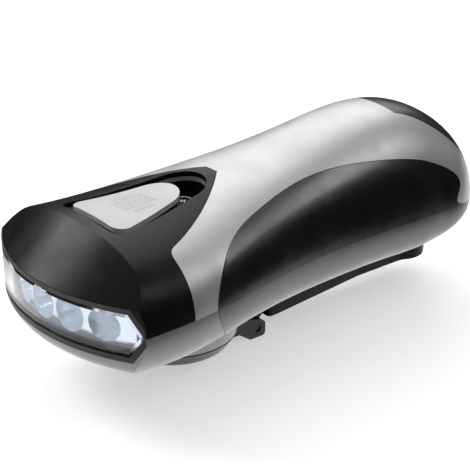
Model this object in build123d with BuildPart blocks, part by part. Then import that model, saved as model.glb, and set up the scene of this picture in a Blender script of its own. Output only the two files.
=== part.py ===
from build123d import *
import math
import os

# Hand crank flashlight. Millimetres, +Z up, the beam leaves towards -Y and the torch is
# symmetric about X = 0. The origin lies under the middle of the torch, on the ground.
os.makedirs("parts", exist_ok=True)

# ------------------------------------------------------------------ body form
SEAM_Z = 24.7            # height of the joint between the upper and lower half
NOSE_Y = -64.0           # foremost point of the lens
TAIL_Y = 64.0            # rearmost point of the tail
HEAD_HALF_W = 30.2       # half width across the lens
HANDLE_HALF_W = 21.4     # half width of the handle
HEAD_CROWN_Z = 41.2      # top of the head
HUMP_Z = 51.0            # top of the hump near the tail
HEAD_BELLY_Z = 7.9       # underside of the head
BELLY_Z = 10.2           # underside of the handle
HUMP_Y = 34.0            # where the hump is highest
TAIL_ROUND_Y = 50.0      # where the sides start to close round the tail
BELLY_SQUARENESS = 2.4   # superellipse exponent of the lower half
HEAD_SQUARENESS = 2.3    # the same of the upper half, at the head
HANDLE_SQUARENESS = 2.2  # and at the handle
LENS_PLAN_R = 52.0       # the nose's radius seen from above
RIDGE_Y = -52.9          # ridge between the sloping brow and the top of the head
RIDGE_PLAN_R = 50.0
CHIN_L = 18.0            # length of the curved chin under the lens
CHIN_RUNOUT = 12.0       # how far it runs out along the belly
WALL = 2.4               # moulded wall
SKIN = 1.2               # thickness of the inlaid covers and grips
SEAT_GAP = 0.1           # glue line under an inlay
LINE_GAP = 0.12          # visible parting line round an inlay

# ------------------------------------------------------------------ inlays
TONGUE_TIP_Y = -14.2     # the head cover ends in a tongue behind the switch
TONGUE_TIP_HALF_W = 2.0
TONGUE_BULGE = (12.6, -26.4)
TONGUE_ROOT_HALF_W = 20.4
HEAD_SPLIT_Y = -41.6     # rear edge of the head cover on the sides
NOTCH_R = 3.0
GRIP_INNER_X = 12.5      # the grips stop here under the belly
# edge of a grip: y, and height above the seam
GRIP_EDGE = [(-24, -24.7), (-27.6, -12.7), (-31.9, -6.2), (-34.7, 0.2), (-30.8, 8.1), (-14.7, 14.7),
             (9.9, 17.9), (30, 16.6), (45.6, 11.7), (51.2, 5.5), (58, 0)]
GRIP_MIDDLE = (10, -10)
TAIL_CAP_EDGE = [(8, 39), (12, 47), (15, 52.4), (16.6, 59)]

# ------------------------------------------------------------------ lens and light
LENS_H = 10.0
LENS_HALF_W = 29.6       # to the pointed ends, which lie on the seam
LENS_CORNER_X = 26.6
LENS_T = 1.8
LENS_BEVEL = 0.7
LENS_FIT = 0.05
RIM_W = 1.2              # gasket showing round the lens
RIM_DEPTH = 3.2
RIM_LIP = 0.8            # the gasket's step behind the lens
RIM_HALF_W = 29.85       # the gasket ends here, inside the body's sides
LED_COUNT = 5
LED_PITCH = 9.4
LED_R = 2.5
LED_FLANGE_R = 2.9
LED_FLANGE_T = 1.0
LED_L = 6.2
CUP_FRONT_R = 4.3
CUP_BACK_R = 2.8
CUP_MOUTH_Y = -60.0      # the cups reach their full width here
REFLECTOR_HALF_W = 25.5
REFLECTOR_H = 10.8
LED_BOARD_Y = -49.4      # front face of the lamp board
LED_BOARD_HALF_W = 24.0
LED_BOARD_H = 13.0
BOARD_T = 1.6

# ------------------------------------------------------------------ switch
BUTTON_FRONT_Y = -47.7
BUTTON_REAR_Y = -25.0
BUTTON_HALF_W = 10.0
BUTTON_CORNER_R = 3.0
BUTTON_REAR_R = 6.3
SKIRT_INSET = 0.5
SWITCH_TRAVEL = 5.0
SLOT_FRONT_Y = -49.4
SLOT_REAR_Y = -17.4
SLOT_HALF_W = 11.7
SLOT_REAR_R = 7.5
SLOT_FLOOR_Z = 38.4
SLOT_PLATE_T = 1.1
SLOT_RIM = 1.5
STEM_Y = -36.0
STEM_HALF_W = 1.5
STEM_HALF_L = 2.0
STEM_GAP = 0.3
SWITCH_W = 9.0
SWITCH_L = 14.0
SWITCH_H = 4.2
SWITCH_WELL = 2.0

# ------------------------------------------------------------------ crank
HUB_Y = -26.4
DISC_FOOT_Z = 2.4
DISC_TOP_Z = 6.0
DISC_FOOT_R = 12.9
DISC_R = 15.6
COLLAR_R = 16.8
COLLAR_BORE_R = 9.0
SHAFT_R = 4.0
GEAR_SEAT_R = 3.0
SPINDLE_R = 2.0
BEARING_WALL = 2.6
CLIP_R = 3.8
CLIP_T = 0.8
RUN_GAP = 0.05           # radial clearance of a shaft in its bore
PRESS_GAP = 0.02         # radial clearance of a fixed pin in its hole
SIDE_GAP = 0.3           # clearance between faces that turn past each other
HINGE_Y = -6.5
HINGE_Z = 2.4
KNUCKLE_R = 2.4
KNUCKLE_HALF_W = 4.0
EAR_GAP = 0.2
EAR_T = 4.0
EAR_REACH = 2.4          # from the hinge axis to the ears' rear and bottom faces
EAR_CORNER_R = 1.0
HINGE_PIN_R = 1.0
ARM_ROOT_GAP = 3.8       # from the hinge axis to the wide part of the arm
ARM_ROOT_HALF_W = 8.0
ARM_WAIST_HALF_W = 6.0
ARM_WAIST_Y = 30.0
ARM_ROOT_BOTTOM_Z = 4.2
ARM_BOTTOM_Z = 5.2
ARM_ROOT_TOP_Z = 7.4
ARM_TOP_Z = 9.2
ARM_STEP_Y = 17.0        # past here the arm clears the nose when it swings under it
NECK_R = 1.4
KNOB_Y = 50.5
KNOB_PAD_R = 7.4
PAD_BLEND_R = 5.0
KNOB_R = 6.5
KNOB_H = 8.1
KNOB_WAIST = 0.7
KNOB_DOME = 1.4
KNOB_PIN_R = 1.6
KNOB_PIN_HEAD_R = 2.8
KNOB_PIN_HEAD_T = 0.9
RIVET_R = 3.0
RIVET_H = 2.0
POCKET_GAP = 1.1
POCKET_WALL = 1.4

# ------------------------------------------------------------------ gear train
MODULE = 0.7
MAIN_TEETH = 44
WHEEL_TEETH = 34
PINION_TEETH = 12
PRESSURE_ANGLE = 20.0
BACKLASH = 0.1
CENTRE_SLACK = 0.05
MAIN_GEAR_Z = 14.2
MAIN_GEAR_T = 2.8
MAIN_WEB_HOLE_R = 3.0
WHEEL_T = 2.2
LEVEL_GAP = 0.6
AXLE_R = 1.0
AXLE_BOSS_R = 2.2
PLATE_T = 1.5
PLATE_MARGIN = 3.2
STATOR_Z = 14.2
STATOR_R = 10.4
STATOR_H = 5.0
STATOR_WALL = 0.7
STATOR_SEAT_R = 9.0
ROTOR_R = 6.4
ROTOR_SLEEVE_R = 2.0
AIR_GAP = 0.35
COIL_GAP = 0.1

# ------------------------------------------------------------------ battery, board, screws
CELL_R = 7.6
CELL_L = 5.8
CELL_COUNT = 3
CELL_GAP = 0.1
HOLDER_WALL = 1.4
HOLDER_LIP = 3.0         # how far the holder's sides rise past the cells' axis
CONTACT_T = 0.5
BATTERY_Y = 10.0
CONTROL_BOARD_Z = 30.4
CONTROL_BOARD_HALF_W = 17.5
CONTROL_BOARD_FRONT_Y = -46.0
CONTROL_BOARD_L = 30.0
BOARD_POST_R = 2.0
BOARD_POST_X = 15.4
BOARD_POST_INSET = 5.0
SCREW_R = 1.1
SCREW_HEAD_R = 2.1
SCREW_HEAD_H = 1.5
SCREW_GRIP = 8.0         # length of thread in the upper half
SCREW_FLOOR = 3.4        # material under the seam that the head pulls on
BOSS_R = 3.3
FRONT_SCREW = (21.4, -44.4)
REAR_SCREW = (9.4, 40.0)
PLATE_POST_R = 2.2
PLATE_SCREW_R = 1.0
PLATE_SCREW_L = 5.0
POST_FRONT = (14.5, -12.5)
POST_REAR = (13.2, 31.0)

# ------------------------------------------------------------------ worked out from these
BAND_LOW = SEAM_Z - LENS_H / 2 - RIM_W      # the lens band, between chin and brow
BAND_HIGH = SEAM_Z + LENS_H / 2 + RIM_W
REACH = 40.0                                # cutting blocks reach this far past the middle
FAR_Y = TAIL_Y + 9
FRONT_Y = NOSE_Y - 6
IDLER_1_Y = HUB_Y + MODULE * (MAIN_TEETH + PINION_TEETH) / 2 + CENTRE_SLACK
IDLER_2_Y = IDLER_1_Y + MODULE * (WHEEL_TEETH + PINION_TEETH) / 2 + CENTRE_SLACK
ROTOR_Y = IDLER_2_Y + MODULE * (WHEEL_TEETH + PINION_TEETH) / 2 + CENTRE_SLACK
WHEEL_1_Z = MAIN_GEAR_Z + MAIN_GEAR_T + LEVEL_GAP
WHEEL_2_Z = WHEEL_1_Z + WHEEL_T + LEVEL_GAP
PLATE_Z = WHEEL_2_Z + WHEEL_T + LEVEL_GAP
BOARD_Y = CONTROL_BOARD_FRONT_Y + CONTROL_BOARD_L / 2
CELL_Z = PLATE_Z + PLATE_T + HOLDER_WALL + CELL_R
STACK_L = CELL_COUNT * CELL_L + (CELL_COUNT - 1) * CELL_GAP
HOLDER_L = STACK_L + 2 * (CONTACT_T + CELL_GAP + HOLDER_WALL)
KNOB_Z = ARM_TOP_Z + SIDE_GAP
EAR_IN_X = KNUCKLE_HALF_W + EAR_GAP
CHIN_STEPS = (0.0, 0.3, 0.6, 0.85, 1.05)    # shares of the chin's height
STATIONS = [NOSE_Y - 4, -46, -26, -6, 14, HUMP_Y, 43, TAIL_ROUND_Y + 1, 56, 60, 62.3, 63.4, 63.85]


# ------------------------------------------------------------------ form functions
def blend(a, b, t):
    """Smooth step from a to b as t goes from 0 to 1."""
    t = min(max(t, 0.0), 1.0)
    return a + (b - a) * t * t * (3 - 2 * t)


def rounding(y, start, power):
    """Share of the full section that is left at y, on the way round the tail."""
    t = min(max((y - start) / (TAIL_Y - start), 0.0), 1.0)
    return (1 - t ** power) ** (1 / power)


def half_width(y):
    waist = blend(HEAD_HALF_W, HANDLE_HALF_W, (y + 50) / 64)
    return waist * rounding(y, TAIL_ROUND_Y, 2.3)


def crown(y):
    """Height of the top line above the seam."""
    head = HEAD_CROWN_Z - SEAM_Z
    hump = HUMP_Z - SEAM_Z
    t = min(max((y - NOSE_Y - 16) / (HUMP_Y - NOSE_Y - 16), 0.0), 1.0)
    rise = 0.62 * t ** 1.5 + 0.38 * t * t * (3 - 2 * t)
    return (head + (hump - head) * rise) * rounding(y, HUMP_Y, 2.25)


def keel(y):
    """Depth of the belly line below the seam."""
    depth = blend(SEAM_Z - HEAD_BELLY_Z, SEAM_Z - BELLY_Z, (y + 50) / 50)
    return depth * rounding(y, TAIL_ROUND_Y - 8, 1.75)


def bulge(power):
    """Handle length of the Bezier quarter that follows a superellipse of this power."""
    return (2 ** (-1 / power) - 0.5) / 0.375


def section(side, y, shrink):
    """Half of one cross-section: two Bezier quarters on the seam line."""
    w = half_width(y) - shrink
    if side > 0:
        height = crown(y) - shrink
        k = bulge(blend(HEAD_SQUARENESS, HANDLE_SQUARENESS, (y + 50) / 100))
    else:
        height = shrink - keel(y)
        k = bulge(BELLY_SQUARENESS)
    for x in (w, -w):
        corner = [(x, 0), (x, k * height), (k * x, height), (0, height)]
        Bezier(*[(px, SEAM_Z + pz) for px, pz in corner])
    Line((-w, SEAM_Z), (w, SEAM_Z))


def behind(z, tip, plan_r):
    """Plan area behind a nose arc, at height z."""
    side = tip + plan_r - math.sqrt(plan_r ** 2 - REACH ** 2)
    with BuildSketch(Plane.XY.offset(z)) as area:
        with BuildLine():
            ThreePointArc((-REACH, side), (0, tip), (REACH, side))
            Polyline((REACH, side), (REACH, FAR_Y), (-REACH, FAR_Y), (-REACH, side))
        make_face()
    return area.sketch


def chin_y(t):
    """How far the chin has run back at share t of its height."""
    return CHIN_L * t ** 2 + CHIN_RUNOUT * t ** 6


def nose_cut(inset):
    """Everything in front of the upright lens band and of the curved chin below it."""
    centre_y = NOSE_Y + LENS_PLAN_R
    chin_h = BAND_LOW - HEAD_BELLY_Z
    chin = [(LENS_PLAN_R - inset * (1 + t) - chin_y(t), BAND_LOW - t * chin_h) for t in CHIN_STEPS]
    with BuildPart() as cut:
        with BuildSketch(Plane((0, (FRONT_Y + centre_y) / 2, -1))):
            Rectangle(2 * REACH, centre_y - FRONT_Y)
        extrude(amount=2 * REACH)
        with BuildSketch(Plane.XZ.offset(-centre_y)):
            with BuildLine():
                Polyline((0, -2), (0, 2 * REACH), (chin[0][0], 2 * REACH), chin[0])
                Spline(*chin)
                Polyline(chin[-1], (chin[-1][0], -2), (0, -2))
            make_face()
        revolve(axis=Axis((0, centre_y, 0), (0, 0, 1)), mode=Mode.SUBTRACT)
    return cut.part


def brow_block(inset):
    """Everything behind the sloping brow."""
    brow_h = HEAD_CROWN_Z - BAND_HIGH
    faces = []
    for share in (-(BAND_HIGH + 2) / brow_h, 2.5):
        tip = NOSE_Y + inset * (1 + 0.2 * share) + share * (RIDGE_Y - NOSE_Y)
        plan_r = LENS_PLAN_R + share * (RIDGE_PLAN_R - LENS_PLAN_R)
        faces.append(behind(BAND_HIGH + share * brow_h, tip, plan_r))
    with BuildPart() as block:
        loft(faces, ruled=True)
    return block.part


def half(side, inset):
    """The upper (1) or lower (-1) half of the outer form, drawn in all round by inset."""
    with BuildPart() as form:
        for y in STATIONS:
            shrink = min(inset, 0.8 * half_width(y), 0.8 * keel(y), 0.8 * crown(y))
            draw_in = inset * max(0.0, (y - TAIL_ROUND_Y) / (TAIL_Y - TAIL_ROUND_Y))
            with BuildSketch(Plane.XZ.offset(draw_in - y)):
                with BuildLine():
                    section(side, y, shrink)
                make_face()
        loft()
        add(nose_cut(inset), mode=Mode.SUBTRACT)
        add(brow_block(inset), mode=Mode.INTERSECT)
    return form.part


def layer(outer, side, inset):
    """The outermost layer of one half, as deep as inset."""
    with BuildPart() as coat:
        add(outer)
        add(half(side, inset), mode=Mode.SUBTRACT)
    return coat.part


def nose_slab(front, back):
    """Upright slab between two arcs that follow the lens, this far behind its face."""
    with BuildPart() as slab:
        extrude(behind(0, NOSE_Y + front, LENS_PLAN_R - front), amount=2 * SEAM_Z)
        extrude(behind(0, NOSE_Y + back, LENS_PLAN_R - back), amount=2 * SEAM_Z, mode=Mode.SUBTRACT)
    return slab.part


def window(grow):
    """The lens outline with its pointed ends, run along Y through the nose."""
    with BuildPart() as prism:
        with BuildSketch(Plane.XZ.offset(-FRONT_Y)):
            with BuildLine():
                Polyline((-LENS_HALF_W, SEAM_Z), (-LENS_CORNER_X, SEAM_Z + LENS_H / 2),
                         (LENS_CORNER_X, SEAM_Z + LENS_H / 2), (LENS_HALF_W, SEAM_Z),
                         (LENS_CORNER_X, SEAM_Z - LENS_H / 2), (-LENS_CORNER_X, SEAM_Z - LENS_H / 2),
                         close=True)
            make_face()
            offset(amount=grow, kind=Kind.INTERSECTION)
        extrude(amount=-REACH)
    return prism.part


def rim_limit(half_w):
    """Block that keeps the gasket and its seat inside the sides of the nose."""
    with BuildPart() as block:
        with BuildSketch():
            with Locations((0, NOSE_Y)):
                Rectangle(2 * half_w, REACH)
        extrude(amount=REACH)
    return block.part


def head_area(grow):
    """Plan of the head cover: the whole nose and a tongue behind the switch."""
    root_x, split_y = TONGUE_ROOT_HALF_W + grow, HEAD_SPLIT_Y + grow
    tip_x, tip_y = TONGUE_TIP_HALF_W + grow, TONGUE_TIP_Y + grow
    mid_x, mid_y = TONGUE_BULGE[0] + grow, TONGUE_BULGE[1] + grow
    with BuildPart() as prism:
        with BuildSketch(Plane.XY.offset(SEAM_Z - WALL)) as area:
            with BuildLine():
                ThreePointArc((root_x, split_y), (mid_x, mid_y), (tip_x, tip_y))
                Line((tip_x, tip_y), (-tip_x, tip_y))
                ThreePointArc((-tip_x, tip_y), (-mid_x, mid_y), (-root_x, split_y))
                Polyline((-root_x, split_y), (-REACH, split_y), (-REACH, FRONT_Y), (REACH, FRONT_Y),
                         (REACH, split_y), (root_x, split_y))
            make_face()
            notches = area.vertices().filter_by_position(Axis.X, -root_x - 1, root_x + 1)
            fillet(notches.filter_by_position(Axis.Y, split_y - 1, split_y + 1), NOTCH_R - grow)
        extrude(amount=REACH)
    return prism.part


def grip_area(side, grow):
    """Side view of a grip, run outwards from beside the belly's middle."""
    edge = []
    for y, z in GRIP_EDGE:
        away = math.dist((y, z), GRIP_MIDDLE)
        edge.append((y + grow * (y - GRIP_MIDDLE[0]) / away, SEAM_Z + z + grow * (z - GRIP_MIDDLE[1]) / away))
    edge[-1] = (edge[-1][0], SEAM_Z)
    with BuildPart() as prism:
        with BuildSketch(Plane.YZ.offset(side * (GRIP_INNER_X - grow))):
            with BuildLine():
                Spline(*edge, tangents=[(0, 1), (1, 0)])
                Polyline(edge[-1], (FAR_Y, SEAM_Z), (FAR_Y, edge[0][1]), edge[0])
            make_face()
        extrude(amount=side * REACH)
    return prism.part


def tail_area(grow):
    """Plan of the tail cap."""
    edge = [(x + grow, y - grow) for x, y in TAIL_CAP_EDGE]
    far = (edge[-1][0], FAR_Y)
    with BuildPart() as prism:
        with BuildSketch(Plane.XY.offset(SEAM_Z - WALL)):
            with BuildLine():
                Spline(*edge)
                Polyline(edge[-1], far, (-far[0], FAR_Y), (-edge[-1][0], edge[-1][1]))
                Spline(*[(-x, y) for x, y in reversed(edge)])
                ThreePointArc((-edge[0][0], edge[0][1]), (0, edge[0][1] - 1.2), edge[0])
            make_face()
        extrude(amount=REACH)
    return prism.part


def tongue(front_y, rear_y, half_w, corner_r, rear_r):
    """Plan shape of the switch button and of its slot: wide in front, round behind."""
    with BuildSketch() as shape:
        with Locations((half_w - corner_r, front_y + corner_r), (corner_r - half_w, front_y + corner_r)):
            Circle(corner_r)
        with Locations((0, rear_y - rear_r)):
            Circle(rear_r)
        make_hull()
    return shape.sketch


def slot(grow, bottom_z):
    """The switch slot, from bottom_z up through the roof."""
    with BuildPart() as well:
        with BuildSketch(Plane.XY.offset(bottom_z)):
            add(tongue(SLOT_FRONT_Y - grow, SLOT_REAR_Y + grow, SLOT_HALF_W + grow,
                       BUTTON_CORNER_R + grow, SLOT_REAR_R + grow))
        extrude(amount=REACH)
    return well.part


def gear_outline(teeth, tooth_angle):
    """Involute gear profile in plan, with one tooth pointing along tooth_angle."""
    pitch_r = MODULE * teeth / 2
    base_r = pitch_r * math.cos(math.radians(PRESSURE_ANGLE))
    tip_r, root_r = pitch_r + MODULE, pitch_r - 1.25 * MODULE
    pitch_half = (math.pi * MODULE / 2 - BACKLASH) / 2 / pitch_r

    def involute(r):
        a = math.acos(min(base_r / r, 1.0))
        return math.tan(a) - a

    points = []
    for tooth in range(teeth):
        middle = math.radians(tooth_angle) + 2 * math.pi * tooth / teeth
        flank = [(r, pitch_half + involute(pitch_r) - involute(r)) for r in (root_r, pitch_r, tip_r)]
        for r, half in [(r, -half) for r, half in flank] + flank[::-1]:
            points.append((r * math.cos(middle + half), r * math.sin(middle + half)))
    return points


def gear(teeth, y, z, thickness, tooth_angle):
    """One toothed disc about the upright axis at (0, y)."""
    with BuildPart() as wheel:
        with BuildSketch(Plane((0, y, z))):
            with BuildLine():
                Polyline(*gear_outline(teeth, tooth_angle), close=True)
            make_face()
        extrude(amount=thickness)
    return wheel.part


def both_sides(spot):
    """A spot and its mirror image across the middle of the torch."""
    return [(spot[0], spot[1]), (-spot[0], spot[1])]


SCREW_SPOTS = both_sides(FRONT_SCREW) + both_sides(REAR_SCREW)
PLATE_SPOTS = both_sides(POST_FRONT) + both_sides(POST_REAR)
AXLE_SPOTS = [(IDLER_1_Y, MAIN_GEAR_Z), (IDLER_2_Y, WHEEL_1_Z), (ROTOR_Y, STATOR_Z + SIDE_GAP)]

# ------------------------------------------------------------------ housing
upper = half(1, 0)
lower = half(-1, 0)
upper_skin = layer(upper, 1, SKIN)       # covers and grips are cut from this layer
lower_skin = layer(lower, -1, SKIN)
upper_recess = layer(upper, 1, SKIN + SEAT_GAP)       # and the housing has this one cut away under them
lower_recess = layer(lower, -1, SKIN + SEAT_GAP)
rim_cut = window(RIM_W + LINE_GAP) & nose_slab(-5, RIM_DEPTH + LINE_GAP) & rim_limit(RIM_HALF_W + LINE_GAP)

with BuildPart() as head_cover:
    add(upper_skin)
    add(head_area(0), mode=Mode.INTERSECT)
    add(slot(0, SEAM_Z), mode=Mode.SUBTRACT)
    add(rim_cut, mode=Mode.SUBTRACT)
head_cover.part.label = "head_cover"
export_step(head_cover.part, "parts/head_cover.step")

with BuildPart() as right_grip:
    add(upper_skin & grip_area(1, 0))
    add(lower_skin & grip_area(1, 0))
right_grip.part.label = "right_grip"
export_step(right_grip.part, "parts/right_grip.step")

with BuildPart() as left_grip:
    add(upper_skin & grip_area(-1, 0))
    add(lower_skin & grip_area(-1, 0))
left_grip.part.label = "left_grip"
export_step(left_grip.part, "parts/left_grip.step")

with BuildPart() as tail_cap:
    add(upper_skin)
    add(tail_area(0), mode=Mode.INTERSECT)
tail_cap.part.label = "tail_cap"
export_step(tail_cap.part, "parts/tail_cap.step")

grip_areas = grip_area(1, LINE_GAP) + grip_area(-1, LINE_GAP)

with BuildPart() as roof_posts:
    with BuildSketch(Plane.XY.offset(SEAM_Z)):
        with Locations(*SCREW_SPOTS):
            Circle(BOSS_R)
    extrude(amount=REACH)
    with BuildSketch(Plane.XY.offset(CONTROL_BOARD_Z + BOARD_T)):
        with Locations((0, BOARD_Y)):
            with GridLocations(2 * BOARD_POST_X, CONTROL_BOARD_L - 2 * BOARD_POST_INSET, 2, 2):
                Circle(BOARD_POST_R)
    extrude(amount=REACH)
    add(upper, mode=Mode.INTERSECT)

with BuildPart() as upper_shell:
    add(layer(upper, 1, WALL))
    add(roof_posts.part)
    with BuildSketch(Plane.XY.offset(SEAM_Z)):
        with Locations(*SCREW_SPOTS):
            Circle(SCREW_R + PRESS_GAP)
    extrude(amount=SCREW_GRIP, mode=Mode.SUBTRACT)
    add(upper_recess & head_area(LINE_GAP), mode=Mode.SUBTRACT)
    add(upper_recess & tail_area(LINE_GAP), mode=Mode.SUBTRACT)
    add(upper_recess & grip_areas, mode=Mode.SUBTRACT)
    add(slot(0, SEAM_Z), mode=Mode.SUBTRACT)
    add(rim_cut, mode=Mode.SUBTRACT)
upper_shell.part.label = "upper_shell"
export_step(upper_shell.part, "parts/upper_shell.step")

with BuildPart() as floor_posts:
    for spots, r, top in (
        (SCREW_SPOTS, BOSS_R, SEAM_Z),
        (PLATE_SPOTS, PLATE_POST_R, PLATE_Z),
        ([(0, HUB_Y)], SHAFT_R + RUN_GAP + BEARING_WALL, MAIN_GEAR_Z - SIDE_GAP),
        ([(0, ROTOR_Y)], STATOR_SEAT_R, STATOR_Z),
        ([(0, KNOB_Y)], KNOB_R + POCKET_GAP + POCKET_WALL, KNOB_Z + KNOB_H + POCKET_GAP + POCKET_WALL),
    ):
        with BuildSketch():
            with Locations(*spots):
                Circle(r)
        extrude(amount=top)
    for y, z in AXLE_SPOTS:
        with BuildSketch():
            with Locations((0, y)):
                Circle(AXLE_BOSS_R)
        extrude(amount=z - SIDE_GAP)
    add(lower, mode=Mode.INTERSECT)

with BuildPart() as lower_shell:
    add(layer(lower, -1, WALL))
    add(floor_posts.part)
    with BuildSketch():
        with Locations(*SCREW_SPOTS):
            Circle(SCREW_R + PRESS_GAP)
        with Locations((0, HUB_Y)):
            Circle(SHAFT_R + RUN_GAP)
    extrude(amount=SEAM_Z, mode=Mode.SUBTRACT)
    with BuildSketch():
        with Locations(*SCREW_SPOTS):
            Circle(SCREW_HEAD_R + STEM_GAP)
    extrude(amount=SEAM_Z - SCREW_FLOOR, mode=Mode.SUBTRACT)
    with BuildSketch():
        with Locations((0, KNOB_Y)):
            Circle(KNOB_R + POCKET_GAP)
    extrude(amount=KNOB_Z + KNOB_H + POCKET_GAP, mode=Mode.SUBTRACT)
    with BuildSketch(Plane.XY.offset(BELLY_Z + WALL)):
        with Locations(*[(0, y) for y, z in AXLE_SPOTS]):
            Circle(AXLE_R + PRESS_GAP)
    extrude(amount=SEAM_Z, mode=Mode.SUBTRACT)
    with BuildSketch(Plane.XY.offset(PLATE_Z - PLATE_SCREW_L + PLATE_T)):
        with Locations(*PLATE_SPOTS):
            Circle(PLATE_SCREW_R + PRESS_GAP)
    extrude(amount=SEAM_Z, mode=Mode.SUBTRACT)
    add(lower_recess & grip_areas, mode=Mode.SUBTRACT)
    add(rim_cut, mode=Mode.SUBTRACT)
lower_shell.part.label = "lower_shell"
export_step(lower_shell.part, "parts/lower_shell.step")

with BuildPart() as bearing_collar:
    with BuildSketch(Plane.XZ.offset(-HUB_Y)):
        with BuildLine():
            Polyline((COLLAR_BORE_R, DISC_TOP_Z + SIDE_GAP), (DISC_R, DISC_TOP_Z + SIDE_GAP),
                     (COLLAR_R, BELLY_Z), (COLLAR_R, SEAM_Z - 8), (COLLAR_BORE_R, SEAM_Z - 8),
                     close=True)
        make_face()
    revolve(axis=Axis((0, HUB_Y, 0), (0, 0, 1)))
    add(half(-1, -SEAT_GAP), mode=Mode.SUBTRACT)
bearing_collar.part.label = "bearing_collar"
export_step(bearing_collar.part, "parts/bearing_collar.step")

with BuildPart() as housing_screws:
    head_z = SEAM_Z - SCREW_FLOOR
    with BuildSketch(Plane.XY.offset(head_z - SCREW_HEAD_H)):
        with Locations(*SCREW_SPOTS):
            Circle(SCREW_HEAD_R)
    extrude(amount=SCREW_HEAD_H)
    with BuildSketch(Plane.XY.offset(head_z)):
        with Locations(*SCREW_SPOTS):
            Circle(SCREW_R)
    extrude(amount=SCREW_FLOOR + SCREW_GRIP)
housing_screws.part.label = "housing_screws"
export_step(housing_screws.part, "parts/housing_screws.step")

# ------------------------------------------------------------------ lens and light
with BuildPart() as lens:
    add(window(0))
    add(nose_slab(0, LENS_T), mode=Mode.INTERSECT)
    front = lens.faces().filter_by(GeomType.CYLINDER).sort_by(Axis.Y)[0]
    chamfer(front.edges(), LENS_BEVEL)
lens.part.label = "lens"
export_step(lens.part, "parts/lens.step")

with BuildPart() as lens_gasket:
    add(window(RIM_W))
    add(nose_slab(0, RIM_DEPTH), mode=Mode.INTERSECT)
    add(window(LENS_FIT) & nose_slab(-5, LENS_T + LENS_FIT), mode=Mode.SUBTRACT)
    add(window(-RIM_LIP), mode=Mode.SUBTRACT)
    add(rim_limit(RIM_HALF_W), mode=Mode.INTERSECT)
lens_gasket.part.label = "lens_gasket"
export_step(lens_gasket.part, "parts/lens_gasket.step")

LED_XS = [LED_PITCH * (i - (LED_COUNT - 1) / 2) for i in range(LED_COUNT)]

with BuildPart() as reflector:
    with BuildSketch(Plane.XZ.offset(-FRONT_Y)):
        with Locations((0, SEAM_Z)):
            RectangleRounded(2 * REFLECTOR_HALF_W, REFLECTOR_H, 2.0)
    extrude(amount=FRONT_Y - LED_BOARD_Y + SEAT_GAP)
    set_back = RIM_DEPTH + SEAT_GAP
    extrude(behind(0, NOSE_Y + set_back, LENS_PLAN_R - set_back), amount=2 * SEAM_Z, mode=Mode.INTERSECT)
    flange_r = LED_FLANGE_R + SEAT_GAP
    flange_y = LED_BOARD_Y - LED_FLANGE_T - SIDE_GAP
    for x in LED_XS:
        with BuildSketch(Plane.XY.offset(SEAM_Z)):
            with BuildLine():
                Polyline((x, LED_BOARD_Y), (x + flange_r, LED_BOARD_Y), (x + flange_r, flange_y),
                         (x + CUP_BACK_R, flange_y), (x + CUP_FRONT_R, CUP_MOUTH_Y),
                         (x + CUP_FRONT_R, NOSE_Y), (x, NOSE_Y), close=True)
            make_face()
        revolve(axis=Axis((x, 0, SEAM_Z), (0, 1, 0)), mode=Mode.SUBTRACT)
reflector.part.label = "reflector"
export_step(reflector.part, "parts/reflector.step")

with BuildPart() as leds:
    for x in LED_XS:
        with BuildSketch(Plane.XY.offset(SEAM_Z)):
            with BuildLine():
                y0 = LED_BOARD_Y
                Polyline((x, y0), (x + LED_FLANGE_R, y0), (x + LED_FLANGE_R, y0 - LED_FLANGE_T),
                         (x + LED_R, y0 - LED_FLANGE_T), (x + LED_R, y0 - LED_L + LED_R))
                CenterArc((x, y0 - LED_L + LED_R), LED_R, 0, -90)
                Line((x, y0 - LED_L), (x, y0))
            make_face()
        revolve(axis=Axis((x, 0, SEAM_Z), (0, 1, 0)))
leds.part.label = "leds"
export_step(leds.part, "parts/leds.step")

with BuildPart() as led_board:
    with BuildSketch(Plane.XZ.offset(-LED_BOARD_Y)):
        with Locations((0, SEAM_Z)):
            RectangleRounded(2 * LED_BOARD_HALF_W, LED_BOARD_H, 1.5)
    extrude(amount=-BOARD_T)
led_board.part.label = "led_board"
export_step(led_board.part, "parts/led_board.step")

# ------------------------------------------------------------------ switch
with BuildPart() as button_block:
    with BuildSketch(Plane.XY.offset(SEAM_Z)):
        add(tongue(BUTTON_FRONT_Y, BUTTON_REAR_Y, BUTTON_HALF_W, BUTTON_CORNER_R, BUTTON_REAR_R))
    extrude(amount=REACH)

with BuildPart() as switch_button:
    add(upper_skin)
    add(button_block.part, mode=Mode.INTERSECT)
switch_button.part.label = "switch_button"
export_step(switch_button.part, "parts/switch_button.step")

with BuildPart() as switch_slider:
    with BuildSketch(Plane.XY.offset(SLOT_FLOOR_Z + STEM_GAP)):
        add(tongue(BUTTON_FRONT_Y + SKIRT_INSET, BUTTON_REAR_Y - SKIRT_INSET, BUTTON_HALF_W - SKIRT_INSET,
                   BUTTON_CORNER_R - SKIRT_INSET, BUTTON_REAR_R - SKIRT_INSET))
    extrude(amount=REACH)
    add(half(1, SKIN + PRESS_GAP), mode=Mode.INTERSECT)
    with BuildSketch(Plane.XY.offset(SLOT_FLOOR_Z + STEM_GAP)):
        with Locations((0, STEM_Y)):
            Rectangle(2 * STEM_HALF_W, 2 * STEM_HALF_L)
    extrude(amount=CONTROL_BOARD_Z + BOARD_T + SWITCH_H - SWITCH_WELL - SLOT_FLOOR_Z)
switch_slider.part.label = "switch_slider"
export_step(switch_slider.part, "parts/switch_slider.step")

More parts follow.
